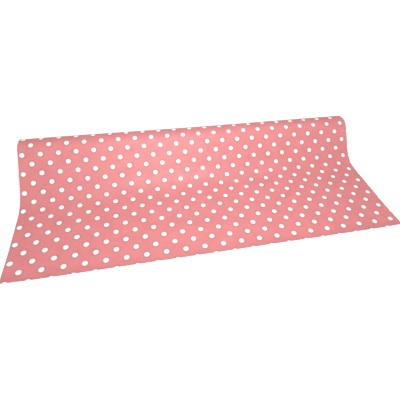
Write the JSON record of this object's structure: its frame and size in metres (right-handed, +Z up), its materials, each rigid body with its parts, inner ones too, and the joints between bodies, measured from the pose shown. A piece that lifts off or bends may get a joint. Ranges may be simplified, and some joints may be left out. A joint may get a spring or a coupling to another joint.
{
  "type": "wrapping paper roll",
  "caption": "Roll of wrapping paper on a cardboard core, lying down with its first stretch pulled over the top, down to the surface and flat in front.",
  "frame": {"origin": "bottom centre of the whole object's bounding box, on the surface it lies on", "axes": "+X along the roll, -Y the way the paper is pulled off, +Z up"},
  "size_m": [0.702, 0.301, 0.0669],
  "materials": {
    "printed_paper": "satin",
    "grey_board": "matte",
    "kraft_board": "matte",
    "tape": "satin"
  },
  "bodies": {
    "sheet": {"pulled_sheet": "printed_paper", "outer_turn": "printed_paper"},
    "roll": {"wound_paper": "printed_paper", "start_tape_left": "tape", "start_tape_middle": "tape", "start_tape_right": "tape", "core_inner_ply": "grey_board", "core_middle_ply": "grey_board", "core_outer_ply": "kraft_board"}
  },
  "joints": [
    {"name": "roll_spin", "type": "hinge", "parent": "sheet", "child": "roll", "pos_m": [0, 0.117, 0.0335], "axis": [1, 0, 0], "continuous": true}
  ]
}
